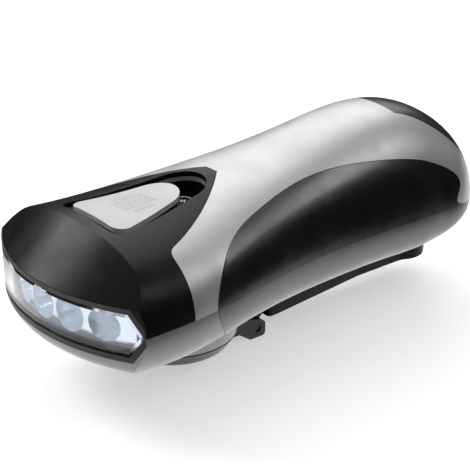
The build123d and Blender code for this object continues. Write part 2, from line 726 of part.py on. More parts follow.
with BuildPart() as switch_plate:
    add(slot(SLOT_RIM, SLOT_FLOOR_Z - SLOT_PLATE_T))
    add(half(1, WALL + SEAT_GAP), mode=Mode.INTERSECT)
    add(slot(0, SLOT_FLOOR_Z), mode=Mode.SUBTRACT)
    with BuildSketch(Plane.XY.offset(SEAM_Z)):
        with Locations((0, STEM_Y + SWITCH_TRAVEL / 2)):
            Rectangle(2 * (STEM_HALF_W + STEM_GAP), 2 * (STEM_HALF_L + STEM_GAP) + SWITCH_TRAVEL)
    extrude(amount=REACH, mode=Mode.SUBTRACT)
switch_plate.part.label = "switch_plate"
export_step(switch_plate.part, "parts/switch_plate.step")

with BuildPart() as slide_switch:
    with BuildSketch(Plane.XY.offset(CONTROL_BOARD_Z + BOARD_T)):
        with Locations((0, STEM_Y + SWITCH_TRAVEL / 2)):
            Rectangle(SWITCH_W, SWITCH_L)
    extrude(amount=SWITCH_H)
    with BuildSketch(Plane.XY.offset(CONTROL_BOARD_Z + BOARD_T + SWITCH_H)):
        with Locations((0, STEM_Y + SWITCH_TRAVEL / 2)):
            Rectangle(2 * (STEM_HALF_W + STEM_GAP), 2 * (STEM_HALF_L + STEM_GAP) + SWITCH_TRAVEL)
    extrude(amount=-SWITCH_WELL, mode=Mode.SUBTRACT)
slide_switch.part.label = "slide_switch"
export_step(slide_switch.part, "parts/slide_switch.step")

with BuildPart() as control_board:
    with BuildSketch(Plane.XY.offset(CONTROL_BOARD_Z)):
        with Locations((0, BOARD_Y)):
            RectangleRounded(2 * CONTROL_BOARD_HALF_W, CONTROL_BOARD_L, 2)
    extrude(amount=BOARD_T)
control_board.part.label = "control_board"
export_step(control_board.part, "parts/control_board.step")

with BuildPart() as board_components:
    for x, y, r, h in ((-10, BOARD_Y + 8, 2.8, 4.0), (10, BOARD_Y - 7, 2.4, 3.0)):
        with BuildSketch(Plane.XY.offset(CONTROL_BOARD_Z + BOARD_T)):
            with Locations((x, y)):
                Circle(r)
        extrude(amount=h)
    for x, y, w, l in ((10, BOARD_Y + 7, 6, 7), (-10, BOARD_Y - 6, 5, 6)):
        with BuildSketch(Plane.XY.offset(CONTROL_BOARD_Z + BOARD_T)):
            with Locations((x, y)):
                Rectangle(w, l)
        extrude(amount=BOARD_T)
board_components.part.label = "board_components"
export_step(board_components.part, "parts/board_components.step")

# ------------------------------------------------------------------ crank
hub_axis = Axis((0, HUB_Y, 0), (0, 0, 1))
gear_top = MAIN_GEAR_Z + MAIN_GEAR_T

with BuildPart() as crank_hub:
    with BuildSketch(Plane.XZ.offset(-HUB_Y)):
        with BuildLine():
            Polyline((0, DISC_FOOT_Z), (DISC_FOOT_R - 1, DISC_FOOT_Z))
            ThreePointArc((DISC_FOOT_R - 1, DISC_FOOT_Z), (DISC_FOOT_R + 0.4, DISC_FOOT_Z + 0.5),
                          (DISC_FOOT_R + 1.4, DISC_FOOT_Z + 1.6))
            Polyline((DISC_FOOT_R + 1.4, DISC_FOOT_Z + 1.6), (DISC_R, DISC_TOP_Z), (SHAFT_R, DISC_TOP_Z),
                     (SHAFT_R, MAIN_GEAR_Z), (GEAR_SEAT_R, MAIN_GEAR_Z), (GEAR_SEAT_R, gear_top),
                     (SPINDLE_R, gear_top), (SPINDLE_R, gear_top + 2 * CLIP_T), (0, gear_top + 2 * CLIP_T),
                     (0, DISC_FOOT_Z))
        make_face()
    revolve(axis=hub_axis)
    for side in (1, -1):
        with BuildSketch(Plane.YZ.offset(side * EAR_IN_X)) as ear:
            with BuildLine():
                back, low = HINGE_Y + EAR_REACH, HINGE_Z - EAR_REACH
                Polyline((HUB_Y + 9, DISC_FOOT_Z + 0.2), (HINGE_Y - 5.9, DISC_FOOT_Z), (HINGE_Y - 2.4, low),
                         (back, low), (back, HINGE_Z + 1.2), (HINGE_Y + 1.0, HINGE_Z + EAR_REACH),
                         (HINGE_Y - 4.4, DISC_TOP_Z - 0.1), (HUB_Y + 9, DISC_TOP_Z - 0.1), close=True)
            make_face()
            fillet(ear.vertices().group_by(Axis.Y)[0].sort_by(Axis.X)[-1], EAR_CORNER_R)
        extrude(amount=side * EAR_T)
    with BuildSketch(Plane.YZ.offset(-REACH)):
        with Locations((HINGE_Y, HINGE_Z)):
            Circle(HINGE_PIN_R + PRESS_GAP)
    extrude(amount=2 * REACH, mode=Mode.SUBTRACT)
crank_hub.part.label = "crank_hub"
export_step(crank_hub.part, "parts/crank_hub.step")

with BuildPart() as hinge_pin:
    with BuildSketch(Plane.YZ.offset(-EAR_IN_X - EAR_T + SIDE_GAP)):
        with Locations((HINGE_Y, HINGE_Z)):
            Circle(HINGE_PIN_R)
    extrude(amount=2 * (EAR_IN_X + EAR_T - SIDE_GAP))
hinge_pin.part.label = "hinge_pin"
export_step(hinge_pin.part, "parts/hinge_pin.step")

with BuildPart() as crank_clip:
    with BuildSketch(Plane((0, HUB_Y, gear_top))):
        Circle(CLIP_R)
        Circle(SPINDLE_R + PRESS_GAP, mode=Mode.SUBTRACT)
        with Locations((CLIP_R, 0)):
            Rectangle(2 * CLIP_R - SPINDLE_R, SPINDLE_R, mode=Mode.SUBTRACT)
    extrude(amount=CLIP_T)
crank_clip.part.label = "crank_clip"
export_step(crank_clip.part, "parts/crank_clip.step")

with BuildPart() as main_gear:
    add(gear(MAIN_TEETH, HUB_Y, MAIN_GEAR_Z, MAIN_GEAR_T, 90))
    with BuildSketch(Plane((0, HUB_Y, MAIN_GEAR_Z))):
        Circle(GEAR_SEAT_R + PRESS_GAP)
        with PolarLocations((MODULE * MAIN_TEETH / 2 + SHAFT_R) / 2, 6):
            Circle(MAIN_WEB_HOLE_R)
    extrude(amount=MAIN_GEAR_T, mode=Mode.SUBTRACT)
main_gear.part.label = "main_gear"
export_step(main_gear.part, "parts/main_gear.step")

with BuildPart() as crank_arm:
    arm_front_y = HINGE_Y + ARM_ROOT_GAP
    with BuildSketch() as plan:
        with BuildLine():
            Polyline((-ARM_ROOT_HALF_W, arm_front_y), (ARM_ROOT_HALF_W, arm_front_y),
                     (ARM_ROOT_HALF_W, arm_front_y + 3), (ARM_WAIST_HALF_W, ARM_WAIST_Y),
                     (ARM_WAIST_HALF_W, KNOB_Y), (-ARM_WAIST_HALF_W, KNOB_Y),
                     (-ARM_WAIST_HALF_W, ARM_WAIST_Y), (-ARM_ROOT_HALF_W, arm_front_y + 3), close=True)
        make_face()
        with Locations((0, KNOB_Y)):
            Circle(KNOB_PAD_R)
        corners = plan.vertices().group_by(Axis.Y)
        fillet(corners[0], EAR_CORNER_R)
        fillet(plan.vertices().filter_by_position(Axis.Y, KNOB_Y - KNOB_PAD_R, KNOB_Y - 1), PAD_BLEND_R)
    extrude(amount=REACH)
    with BuildSketch(Plane.YZ.offset(-REACH)):
        with BuildLine():
            end_y = KNOB_Y + KNOB_PAD_R + 1
            Polyline((arm_front_y - 1, ARM_ROOT_BOTTOM_Z), (ARM_STEP_Y / 2, ARM_ROOT_BOTTOM_Z + 0.4),
                     (ARM_WAIST_Y, ARM_BOTTOM_Z), (KNOB_Y + 3, ARM_BOTTOM_Z), (end_y, ARM_BOTTOM_Z + 1.8),
                     (end_y, ARM_TOP_Z), (ARM_STEP_Y + 4, ARM_TOP_Z), (ARM_STEP_Y, ARM_ROOT_TOP_Z),
                     (arm_front_y - 1, ARM_ROOT_TOP_Z), close=True)
        make_face()
    extrude(amount=2 * REACH, mode=Mode.INTERSECT)
    with BuildSketch(Plane.YZ.offset(-KNUCKLE_HALF_W)):
        with Locations((HINGE_Y, HINGE_Z)):
            Circle(KNUCKLE_R)
        with Locations((arm_front_y + 2, ARM_ROOT_TOP_Z - NECK_R - 0.2)):
            Circle(NECK_R)
        make_hull()
    extrude(amount=2 * KNUCKLE_HALF_W)
    with BuildSketch(Plane.YZ.offset(-KNUCKLE_HALF_W)):
        with Locations((HINGE_Y, HINGE_Z)):
            Circle(HINGE_PIN_R + RUN_GAP)
    extrude(amount=2 * KNUCKLE_HALF_W, mode=Mode.SUBTRACT)
    with BuildSketch():
        with Locations((0, KNOB_Y)):
            Circle(KNOB_PIN_R + PRESS_GAP)
    extrude(amount=REACH, mode=Mode.SUBTRACT)
crank_arm.part.label = "crank_arm"
export_step(crank_arm.part, "parts/crank_arm.step")

knob_axis = Axis((0, KNOB_Y, 0), (0, 0, 1))
pin_head_z = KNOB_Z + KNOB_H - KNOB_PIN_HEAD_T - SIDE_GAP

with BuildPart() as crank_knob:
    with BuildSketch(Plane.XZ.offset(-KNOB_Y)):
        with BuildLine():
            bore = KNOB_PIN_R + RUN_GAP
            well = KNOB_PIN_HEAD_R + SIDE_GAP
            top = KNOB_Z + KNOB_H
            Line((bore, KNOB_Z), (KNOB_R - 0.6, KNOB_Z))
            Line((KNOB_R - 0.6, KNOB_Z), (KNOB_R, KNOB_Z + 0.6))
            ThreePointArc((KNOB_R, KNOB_Z + 0.6), (KNOB_R - KNOB_WAIST, KNOB_Z + KNOB_H / 2),
                          (KNOB_R, top - KNOB_DOME))
            ThreePointArc((KNOB_R, top - KNOB_DOME), (KNOB_R - 0.5, top - 0.4), (KNOB_R - 1.6, top))
            Polyline((KNOB_R - 1.6, top), (well, top), (well, pin_head_z - SIDE_GAP),
                     (bore, pin_head_z - SIDE_GAP), (bore, KNOB_Z))
        make_face()
    revolve(axis=knob_axis)
crank_knob.part.label = "crank_knob"
export_step(crank_knob.part, "parts/crank_knob.step")

with BuildPart() as knob_pin:
    with BuildSketch(Plane.XZ.offset(-KNOB_Y)):
        with BuildLine():
            head_top = pin_head_z + KNOB_PIN_HEAD_T
            Polyline((0, ARM_BOTTOM_Z - RIVET_H), (RIVET_R / 2, ARM_BOTTOM_Z - RIVET_H))
            ThreePointArc((RIVET_R / 2, ARM_BOTTOM_Z - RIVET_H), (RIVET_R - 0.4, ARM_BOTTOM_Z - RIVET_H + 0.7),
                          (RIVET_R, ARM_BOTTOM_Z))
            Polyline((RIVET_R, ARM_BOTTOM_Z), (KNOB_PIN_R, ARM_BOTTOM_Z), (KNOB_PIN_R, pin_head_z),
                     (KNOB_PIN_HEAD_R, pin_head_z), (KNOB_PIN_HEAD_R, head_top), (0, head_top),
                     (0, ARM_BOTTOM_Z - RIVET_H))
        make_face()
    revolve(axis=knob_axis)
knob_pin.part.label = "knob_pin"
export_step(knob_pin.part, "parts/knob_pin.step")

# ------------------------------------------------------------------ gear train and generator
gap_angle = -90 + 180 / PINION_TEETH

with BuildPart() as idler_gear_1:
    add(gear(PINION_TEETH, IDLER_1_Y, MAIN_GEAR_Z, MAIN_GEAR_T + LEVEL_GAP, gap_angle))
    add(gear(WHEEL_TEETH, IDLER_1_Y, WHEEL_1_Z, WHEEL_T, 90))
    with BuildSketch(Plane((0, IDLER_1_Y, MAIN_GEAR_Z))):
        Circle(AXLE_R + RUN_GAP)
    extrude(amount=REACH, mode=Mode.SUBTRACT)
idler_gear_1.part.label = "idler_gear_1"
export_step(idler_gear_1.part, "parts/idler_gear_1.step")

with BuildPart() as idler_gear_2:
    add(gear(PINION_TEETH, IDLER_2_Y, WHEEL_1_Z, WHEEL_T + LEVEL_GAP, gap_angle))
    add(gear(WHEEL_TEETH, IDLER_2_Y, WHEEL_2_Z, WHEEL_T, 90))
    with BuildSketch(Plane((0, IDLER_2_Y, WHEEL_1_Z))):
        Circle(AXLE_R + RUN_GAP)
    extrude(amount=REACH, mode=Mode.SUBTRACT)
idler_gear_2.part.label = "idler_gear_2"
export_step(idler_gear_2.part, "parts/idler_gear_2.step")

with BuildPart() as rotor_pinion:
    add(gear(PINION_TEETH, ROTOR_Y, WHEEL_2_Z, WHEEL_T, gap_angle))
    with BuildSketch(Plane((0, ROTOR_Y, STATOR_Z + SIDE_GAP))):
        Circle(ROTOR_SLEEVE_R)
    extrude(amount=WHEEL_2_Z - STATOR_Z - SIDE_GAP)
    with BuildSketch(Plane((0, ROTOR_Y, STATOR_Z))):
        Circle(AXLE_R + RUN_GAP)
    extrude(amount=REACH, mode=Mode.SUBTRACT)
rotor_pinion.part.label = "rotor_pinion"
export_step(rotor_pinion.part, "parts/rotor_pinion.step")

with BuildPart() as rotor_magnet:
    with BuildSketch(Plane((0, ROTOR_Y, STATOR_Z + STATOR_WALL + LEVEL_GAP))):
        Circle(ROTOR_R)
        Circle(ROTOR_SLEEVE_R + PRESS_GAP, mode=Mode.SUBTRACT)
    extrude(amount=STATOR_H - STATOR_WALL - LEVEL_GAP - SIDE_GAP)
rotor_magnet.part.label = "rotor_magnet"
export_step(rotor_magnet.part, "parts/rotor_magnet.step")

with BuildPart() as stator_can:
    with BuildSketch(Plane((0, ROTOR_Y, STATOR_Z))):
        Circle(STATOR_R)
        Circle(ROTOR_SLEEVE_R + LEVEL_GAP, mode=Mode.SUBTRACT)
    extrude(amount=STATOR_H)
    with BuildSketch(Plane((0, ROTOR_Y, STATOR_Z + STATOR_WALL))):
        Circle(STATOR_R - STATOR_WALL)
    extrude(amount=STATOR_H, mode=Mode.SUBTRACT)
stator_can.part.label = "stator_can"
export_step(stator_can.part, "parts/stator_can.step")

with BuildPart() as coil_winding:
    with BuildSketch(Plane((0, ROTOR_Y, STATOR_Z + STATOR_WALL + COIL_GAP))):
        Circle(STATOR_R - STATOR_WALL - COIL_GAP)
        Circle(ROTOR_R + AIR_GAP, mode=Mode.SUBTRACT)
    extrude(amount=STATOR_H - STATOR_WALL - 2 * COIL_GAP)
coil_winding.part.label = "coil_winding"
export_step(coil_winding.part, "parts/coil_winding.step")

with BuildPart() as gear_axles:
    with BuildSketch(Plane.XY.offset(BELLY_Z + WALL)):
        with Locations(*[(0, y) for y, z in AXLE_SPOTS]):
            Circle(AXLE_R)
    extrude(amount=PLATE_Z + PLATE_T - BELLY_Z - WALL)
gear_axles.part.label = "gear_axles"
export_step(gear_axles.part, "parts/gear_axles.step")

with BuildPart() as gear_plate:
    with BuildSketch(Plane.XY.offset(PLATE_Z)):
        with Locations(*PLATE_SPOTS):
            Circle(PLATE_MARGIN)
        make_hull()
        with Locations(*[(0, y) for y, z in AXLE_SPOTS]):
            Circle(AXLE_R + PRESS_GAP, mode=Mode.SUBTRACT)
        with Locations(*PLATE_SPOTS):
            Circle(PLATE_SCREW_R + PRESS_GAP, mode=Mode.SUBTRACT)
    extrude(amount=PLATE_T)
gear_plate.part.label = "gear_plate"
export_step(gear_plate.part, "parts/gear_plate.step")

with BuildPart() as plate_screws:
    with BuildSketch(Plane.XY.offset(PLATE_Z + PLATE_T)):
        with Locations(*PLATE_SPOTS):
            Circle(PLATE_POST_R)
    extrude(amount=SCREW_HEAD_H)
    with BuildSketch(Plane.XY.offset(PLATE_Z + PLATE_T - PLATE_SCREW_L)):
        with Locations(*PLATE_SPOTS):
            Circle(PLATE_SCREW_R)
    extrude(amount=PLATE_SCREW_L)
plate_screws.part.label = "plate_screws"
export_step(plate_screws.part, "parts/plate_screws.step")

# ------------------------------------------------------------------ battery
with BuildPart() as battery_cells:
    for i in range(CELL_COUNT):
        front_y = BATTERY_Y - STACK_L / 2 + i * (CELL_L + CELL_GAP)
        with BuildSketch(Plane.XZ.offset(-front_y)):
            with Locations((0, CELL_Z)):
                Circle(CELL_R)
        extrude(amount=-CELL_L)
battery_cells.part.label = "battery_cells"
export_step(battery_cells.part, "parts/battery_cells.step")

with BuildPart() as battery_holder:
    with BuildSketch(Plane((0, BATTERY_Y, PLATE_Z + PLATE_T))):
        Rectangle(2 * (CELL_R + HOLDER_WALL), HOLDER_L)
    extrude(amount=HOLDER_WALL + CELL_R + HOLDER_LIP)
    with BuildSketch(Plane.XZ.offset(HOLDER_L / 2 - HOLDER_WALL - BATTERY_Y)):
        with Locations((0, CELL_Z)):
            Circle(CELL_R + CELL_GAP)
        with Locations((0, CELL_Z + CELL_R)):
            Rectangle(2 * (CELL_R + CELL_GAP), 2 * CELL_R)
    extrude(amount=2 * HOLDER_WALL - HOLDER_L, mode=Mode.SUBTRACT)
battery_holder.part.label = "battery_holder"
export_step(battery_holder.part, "parts/battery_holder.step")

with BuildPart() as battery_contacts:
    for side in (1, -1):
        with BuildSketch(Plane.XZ.offset(-BATTERY_Y - side * (STACK_L / 2 + CELL_GAP / 2))):
            with Locations((0, CELL_Z)):
                Circle(CELL_R - HOLDER_WALL)
        extrude(amount=-side * CONTACT_T)
battery_contacts.part.label = "battery_contacts"
export_step(battery_contacts.part, "parts/battery_contacts.step")
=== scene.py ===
"""Looks, light and camera for the hand crank flashlight. Metres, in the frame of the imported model."""
import math

import bpy
from mathutils import Matrix, Vector
from mathutils.bvhtree import BVHTree


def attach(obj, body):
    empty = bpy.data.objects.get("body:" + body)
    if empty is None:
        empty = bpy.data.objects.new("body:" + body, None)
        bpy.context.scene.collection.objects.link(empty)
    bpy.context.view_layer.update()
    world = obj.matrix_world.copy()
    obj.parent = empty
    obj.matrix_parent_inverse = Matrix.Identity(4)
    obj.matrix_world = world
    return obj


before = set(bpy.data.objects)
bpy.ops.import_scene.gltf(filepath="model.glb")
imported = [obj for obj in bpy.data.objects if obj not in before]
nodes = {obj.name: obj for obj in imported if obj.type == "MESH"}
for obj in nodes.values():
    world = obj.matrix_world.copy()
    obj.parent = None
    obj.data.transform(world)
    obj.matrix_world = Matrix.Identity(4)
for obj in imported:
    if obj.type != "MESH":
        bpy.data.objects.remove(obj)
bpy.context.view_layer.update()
scene = bpy.context.scene
MM = 0.001


# ---------------------------------------------------------------- materials
NOISE_LOW, NOISE_HIGH = 0.3, 0.7      # most of a noise lies between these
COLOR_PATCH, GLOSS_PATCH = 12 * MM, 6 * MM
BUMP_STRENGTH = 0.6


def shader(name, color, rough, metallic=0.0, ior=1.5, more=None):
    """A material with its shader's constant values set on the shader itself."""
    mat = bpy.data.materials.new(name)
    mat.use_nodes = True
    values = {"Base Color": (*color, 1), "Roughness": rough, "Metallic": metallic, "IOR": ior}
    for socket, value in {**values, **(more or {})}.items():
        principled(mat).inputs[socket].default_value = value
    return mat


def principled(mat):
    return mat.node_tree.nodes["Principled BSDF"]


def noise(tree, size, detail=3.0, stretch=(1, 1, 1)):
    """Noise whose features are about size metres across, fixed to the piece."""
    coord = tree.nodes.new("ShaderNodeTexCoord")
    mapping = tree.nodes.new("ShaderNodeMapping")
    mapping.inputs["Scale"].default_value = stretch
    tex = tree.nodes.new("ShaderNodeTexNoise")
    tex.inputs["Scale"].default_value = 1 / size
    tex.inputs["Detail"].default_value = detail
    tree.links.new(coord.outputs["Object"], mapping.inputs["Vector"])
    tree.links.new(mapping.outputs["Vector"], tex.inputs["Vector"])
    return tex.outputs["Fac"]


def map_range(tree, value, source, result):
    """Node that turns a value between the two numbers of source into one between those of result."""
    span = tree.nodes.new("ShaderNodeMapRange")
    span.inputs["From Min"].default_value, span.inputs["From Max"].default_value = source
    span.inputs["To Min"].default_value, span.inputs["To Max"].default_value = result
    tree.links.new(value, span.inputs["Value"])
    return span


def ramp_color(tree, value, stops):
    """A colour ramp over value, with two stops of position and colour."""
    ramp = tree.nodes.new("ShaderNodeValToRGB")
    for element, (position, color) in zip(ramp.color_ramp.elements, stops):
        element.position = position
        element.color = (*color, 1)
    tree.links.new(value, ramp.inputs["Fac"])
    return ramp.outputs["Color"]


def vary_color(mat, low, high, size, detail=3.0, stretch=(1, 1, 1)):
    """Colour that wanders between low and high."""
    tree = mat.node_tree
    stops = (NOISE_LOW, low), (NOISE_HIGH, high)
    color = ramp_color(tree, noise(tree, size, detail, stretch), stops)
    tree.links.new(color, principled(mat).inputs["Base Color"])


def vary_rough(mat, low, high, size, stretch=(1, 1, 1)):
    """Roughness that wanders between low and high."""
    tree = mat.node_tree
    span = map_range(tree, noise(tree, size, 4.0, stretch), (NOISE_LOW, NOISE_HIGH), (low, high))
    tree.links.new(span.outputs["Result"], principled(mat).inputs["Roughness"])


def grain(mat, size, height, stretch=(1, 1, 1)):
    """Fine surface texture, height metres deep."""
    tree = mat.node_tree
    bump = tree.nodes.new("ShaderNodeBump")
    bump.inputs["Strength"].default_value = BUMP_STRENGTH
    bump.inputs["Distance"].default_value = height
    tree.links.new(noise(tree, size, 2.0, stretch), bump.inputs["Height"])
    tree.links.new(bump.outputs["Normal"], principled(mat).inputs["Normal"])


def moulded(name, color, rough, spread=0.12, metallic=0.0, ior=1.5,
            grain_size=0.6 * MM, grain_height=0.004 * MM, more=None):
    """Moulded plastic: slightly uneven colour and gloss, and a fine grain."""
    mat = shader(name, color, rough, metallic, ior, more)
    low, high = [c * (1 - spread) for c in color], [min(c * (1 + spread), 1) for c in color]
    vary_color(mat, low, high, COLOR_PATCH)
    vary_rough(mat, rough * 0.85, rough * 1.2, GLOSS_PATCH)
    grain(mat, grain_size, grain_height)
    return mat


def metal(name, color, rough, stretch=(1, 1, 1)):
    """Bare metal with fine uneven wear, drawn out along an axis by stretch."""
    mat = shader(name, color, rough, 1.0)
    vary_color(mat, [c * 0.85 for c in color], color, 4 * MM, 4.0, stretch)
    vary_rough(mat, rough * 0.8, rough * 1.4, 2 * MM, stretch)
    grain(mat, 0.4 * MM, 0.006 * MM, stretch)
    return mat


def two_tone(mat, far_color, border):
    """Another colour for what lies further along +Y than border, with a soft edge of a millimetre."""
    tree = mat.node_tree
    base = principled(mat).inputs["Base Color"]
    near = base.links[0].from_socket
    coord = tree.nodes.new("ShaderNodeTexCoord")
    split = tree.nodes.new("ShaderNodeSeparateXYZ")
    mix = tree.nodes.new("ShaderNodeMix")
    mix.data_type = "RGBA"
    tree.links.new(coord.outputs["Object"], split.inputs[0])
    edge = map_range(tree, split.outputs["Y"], (border, border + MM), (0, 1))
    tree.links.new(edge.outputs["Result"], mix.inputs["Factor"])
    tree.links.new(near, mix.inputs["A"])
    mix.inputs["B"].default_value = (*far_color, 1)
    tree.links.new(mix.outputs["Result"], base)


ARM_BLACK = (0.004, 0.004, 0.0045)
HINGE_BORDER = -15.0 * MM

silver = moulded("silver_paint", (0.54, 0.545, 0.56), 0.4, 0.02, metallic=0.6, grain_size=0.35 * MM,
                 grain_height=0.002 * MM, more={"Coat Weight": 0.25, "Coat Roughness": 0.35})
button_silver = moulded("button_paint", (0.60, 0.605, 0.615), 0.5, 0.02, metallic=0.2,
                        grain_size=0.35 * MM, grain_height=0.002 * MM)
collar_grey = moulded("collar_grey", (0.30, 0.30, 0.31), 0.36, 0.05, metallic=0.5)
satin_black = moulded("satin_black", (0.006, 0.006, 0.0065), 0.3, 0.2, ior=1.24,
                      grain_size=0.4 * MM, grain_height=0.003 * MM)
arm_black = moulded("arm_black", ARM_BLACK, 0.36, 0.2, ior=1.22,
                    grain_size=0.5 * MM, grain_height=0.005 * MM)
gloss_black = moulded("gloss_black", (0.002, 0.002, 0.0022), 0.24, 0.2, ior=1.95,
                      grain_size=4 * MM, grain_height=0.002 * MM)
dark_grey = moulded("dark_grey", (0.21, 0.21, 0.22), 0.3, 0.03, metallic=0.75, ior=1.6,
                    grain_size=3 * MM, grain_height=0.001 * MM)
# the crank's disc is dark grey and its hinge ears are black
disc_grey = moulded("disc_grey", (0.085, 0.085, 0.09), 0.38, 0.08, ior=1.4)
two_tone(disc_grey, ARM_BLACK, HINGE_BORDER)
tail_grey = moulded("tail_grey", (0.022, 0.023, 0.025), 0.3, metallic=0.1, ior=1.55,
                    grain_size=0.4 * MM, grain_height=0.003 * MM)
seal_black = moulded("seal_black", (0.012, 0.013, 0.015), 0.42, 0.2,
                     grain_size=0.5 * MM, grain_height=0.006 * MM)
board_green = moulded("board_green", (0.012, 0.10, 0.04), 0.35, 0.15)
part_black = moulded("part_black", (0.015, 0.015, 0.015), 0.45, 0.2)
nylon = moulded("nylon", (0.72, 0.70, 0.64), 0.45, 0.04)
plate_grey = moulded("plate_grey", (0.05, 0.05, 0.052), 0.5, 0.15)
cell_steel = metal("cell_steel", (0.55, 0.56, 0.58), 0.25, (1, 6, 1))
steel = metal("steel", (0.58, 0.58, 0.59), 0.28)
black_steel = metal("black_steel", (0.035, 0.035, 0.036), 0.4)
magnet_grey = metal("magnet_grey", (0.12, 0.12, 0.125), 0.4)
copper = metal("copper", (0.72, 0.30, 0.12), 0.3, (1, 1, 30))

# the reflector glows faintly: painted brightness, it is no lamp
reflector_painted_glow = shader("mirror_plastic", (0.82, 0.86, 0.92), 0.16, 0.85,
                more={"Emission Color": (0.80, 0.88, 1.0, 1), "Emission Strength": 0.1})
vary_rough(reflector_painted_glow, 0.1, 0.24, 3 * MM)
grain(reflector_painted_glow, 0.8 * MM, 0.01 * MM)

# the LED domes glow: painted brightness, the LEDs are not lit
led_painted_glow = shader("lamp_resin", (0.86, 0.91, 1.0), 0.12,
               more={"Emission Color": (0.86, 0.92, 1.0, 1), "Emission Strength": 0.18})
vary_color(led_painted_glow, (0.74, 0.82, 0.96), (0.95, 0.97, 1.0), 1.2 * MM)
grain(led_painted_glow, 0.8 * MM, 0.01 * MM)

clear = shader("clear_lens", (0.93, 0.965, 1.0), 0.03, ior=1.49, more={"Transmission Weight": 1.0})
vary_rough(clear, 0.01, 0.05, 4 * MM)
grain(clear, 6 * MM, 0.004 * MM)

white_ink = shader("white_ink", (0.8, 0.8, 0.8), 0.5)
vary_color(white_ink, (0.6, 0.6, 0.6), (0.85, 0.85, 0.85), 0.5 * MM)

FINISH = {
    "upper_shell": silver, "switch_button": button_silver, "bearing_collar": collar_grey,
    "head_cover": satin_black, "switch_plate": satin_black, "tail_cap": tail_grey,
    "crank_arm": arm_black, "crank_knob": arm_black, "crank_hub": disc_grey,
    "left_grip": gloss_black, "right_grip": gloss_black, "switch_slider": gloss_black,
    "lower_shell": dark_grey, "lens": clear, "lens_gasket": seal_black,
    "reflector": reflector_painted_glow, "leds": led_painted_glow, "led_board": board_green, "control_board": board_green,
    "board_components": part_black, "slide_switch": part_black, "battery_holder": part_black,
    "housing_screws": steel, "plate_screws": steel, "gear_axles": steel, "knob_pin": steel,
    "crank_clip": steel, "stator_can": steel, "battery_contacts": steel,
    "hinge_pin": black_steel, "battery_cells": cell_steel, "rotor_magnet": magnet_grey,
    "coil_winding": copper, "gear_plate": plate_grey, "main_gear": nylon,
    "idler_gear_1": nylon, "idler_gear_2": nylon, "rotor_pinion": nylon,
}
for name, obj in nodes.items():
    obj.data.materials.clear()
    obj.data.materials.append(FINISH[name])


# ---------------------------------------------------------------- small pieces
def add_piece(name, verts, faces, mat, body):
    mesh = bpy.data.meshes.new(name)
    mesh.from_pydata(verts, [], faces)
    mesh.update()
    obj = bpy.data.objects.new(name, mesh)
    scene.collection.objects.link(obj)
    obj.data.materials.append(mat)
    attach(obj, body)


def top_of(node):
    """Function that gives the height of a node's top at (x, y)."""
    mesh = nodes[node].data
    surface = BVHTree.FromPolygons([v.co for v in mesh.vertices], [p.vertices for p in mesh.polygons])
    above = 0.1

    def height(x, y):
        return surface.ray_cast(Vector((x, y, above)), Vector((0, 0, -1)))[0].z
    return height


# raised slanted ribs on the button, in an oval
RIB_LENGTH, RIB_WIDTH, RIB_HEIGHT, RIB_SLANT = 1.9 * MM, 0.42 * MM, 0.09 * MM, 0.35
RIB_STEP_X, RIB_STEP_Y, ROW_SHIFT = 2.1 * MM, 0.95 * MM, 0.25 * MM
OVAL_Y, OVAL_RX, OVAL_RY = -36.6 * MM, 4.9 * MM, 4.7 * MM
RIB_FOOT = -0.05 * MM                    # the edges of a rib sink this far into the button
RIB_PROFILE = (-1, RIB_FOOT), (-0.4, RIB_HEIGHT), (0.4, RIB_HEIGHT), (1, RIB_FOOT)
TIP_WIDTH, TIP_HEIGHT = 0.45, 0.02 * MM  # a rib narrows and drops at its two tips
RIB_STATIONS = (-0.5, True), (-0.3, False), (0.3, False), (0.5, True)

button_top = top_of("switch_button")
verts, faces = [], []
for row in range(-2, 3):
    for col in range(-5, 6):
        x = row * RIB_STEP_X
        y = OVAL_Y + col * RIB_STEP_Y + row * ROW_SHIFT
        if (x / OVAL_RX) ** 2 + ((y - OVAL_Y) / OVAL_RY) ** 2 > 1:
            continue
        start = len(verts)
        for along, tip in RIB_STATIONS:
            half = RIB_WIDTH / 2 * (TIP_WIDTH if tip else 1)
            px, py = x + along * RIB_LENGTH, y + along * RIB_LENGTH * RIB_SLANT
            for side, up in RIB_PROFILE:
                lift = min(up, TIP_HEIGHT) if tip else up
                verts.append((px, py + side * half, button_top(px, py) + lift))
        for i in range(3):
            for j in range(3):
                a = start + 4 * i + j
                faces.append((a, a + 1, a + 5, a + 4))
add_piece("button_ribs", verts, faces, button_silver, "switch")

# plain position marks on the floor of the switch slot: an arc and two strokes, in millimetres
MARK_Z = 38.4 * MM + 0.03 * MM
ARC_X, ARC_Y, ARC_RX, ARC_RY, ARC_WIDTH = 0.3, -22.6, 2.6, 2.2, 0.35
ARC_DEGREES = range(20, 161, 14)
STROKES = [(-0.6, -22.9), (1.2, -22.9)], [(0.3, -23.7), (0.3, -22.1)]
STROKE_WIDTH = 0.4


def stroke(points, width, verts, faces):
    """A flat band along points, added to verts and faces."""
    start = len(verts)
    for i, (x, y) in enumerate(points):
        a, b = points[max(i - 1, 0)], points[min(i + 1, len(points) - 1)]
        dx, dy = b[0] - a[0], b[1] - a[1]
        length = math.hypot(dx, dy)
        for side in (-0.5, 0.5):
            across, along = side * width * dy / length, side * width * dx / length
            verts.append(((x - across) * MM, (y + along) * MM, MARK_Z))
    for i in range(len(points) - 1):
        a = start + 2 * i
        faces.append((a, a + 1, a + 3, a + 2))


verts, faces = [], []
turns = [math.radians(degrees) for degrees in ARC_DEGREES]
arc = [(ARC_X + ARC_RX * math.cos(turn), ARC_Y + ARC_RY * math.sin(turn)) for turn in turns]
stroke(arc, ARC_WIDTH, verts, faces)
for points in STROKES:
    stroke(points, STROKE_WIDTH, verts, faces)
add_piece("slot_marks", verts, faces, white_ink, "housing")


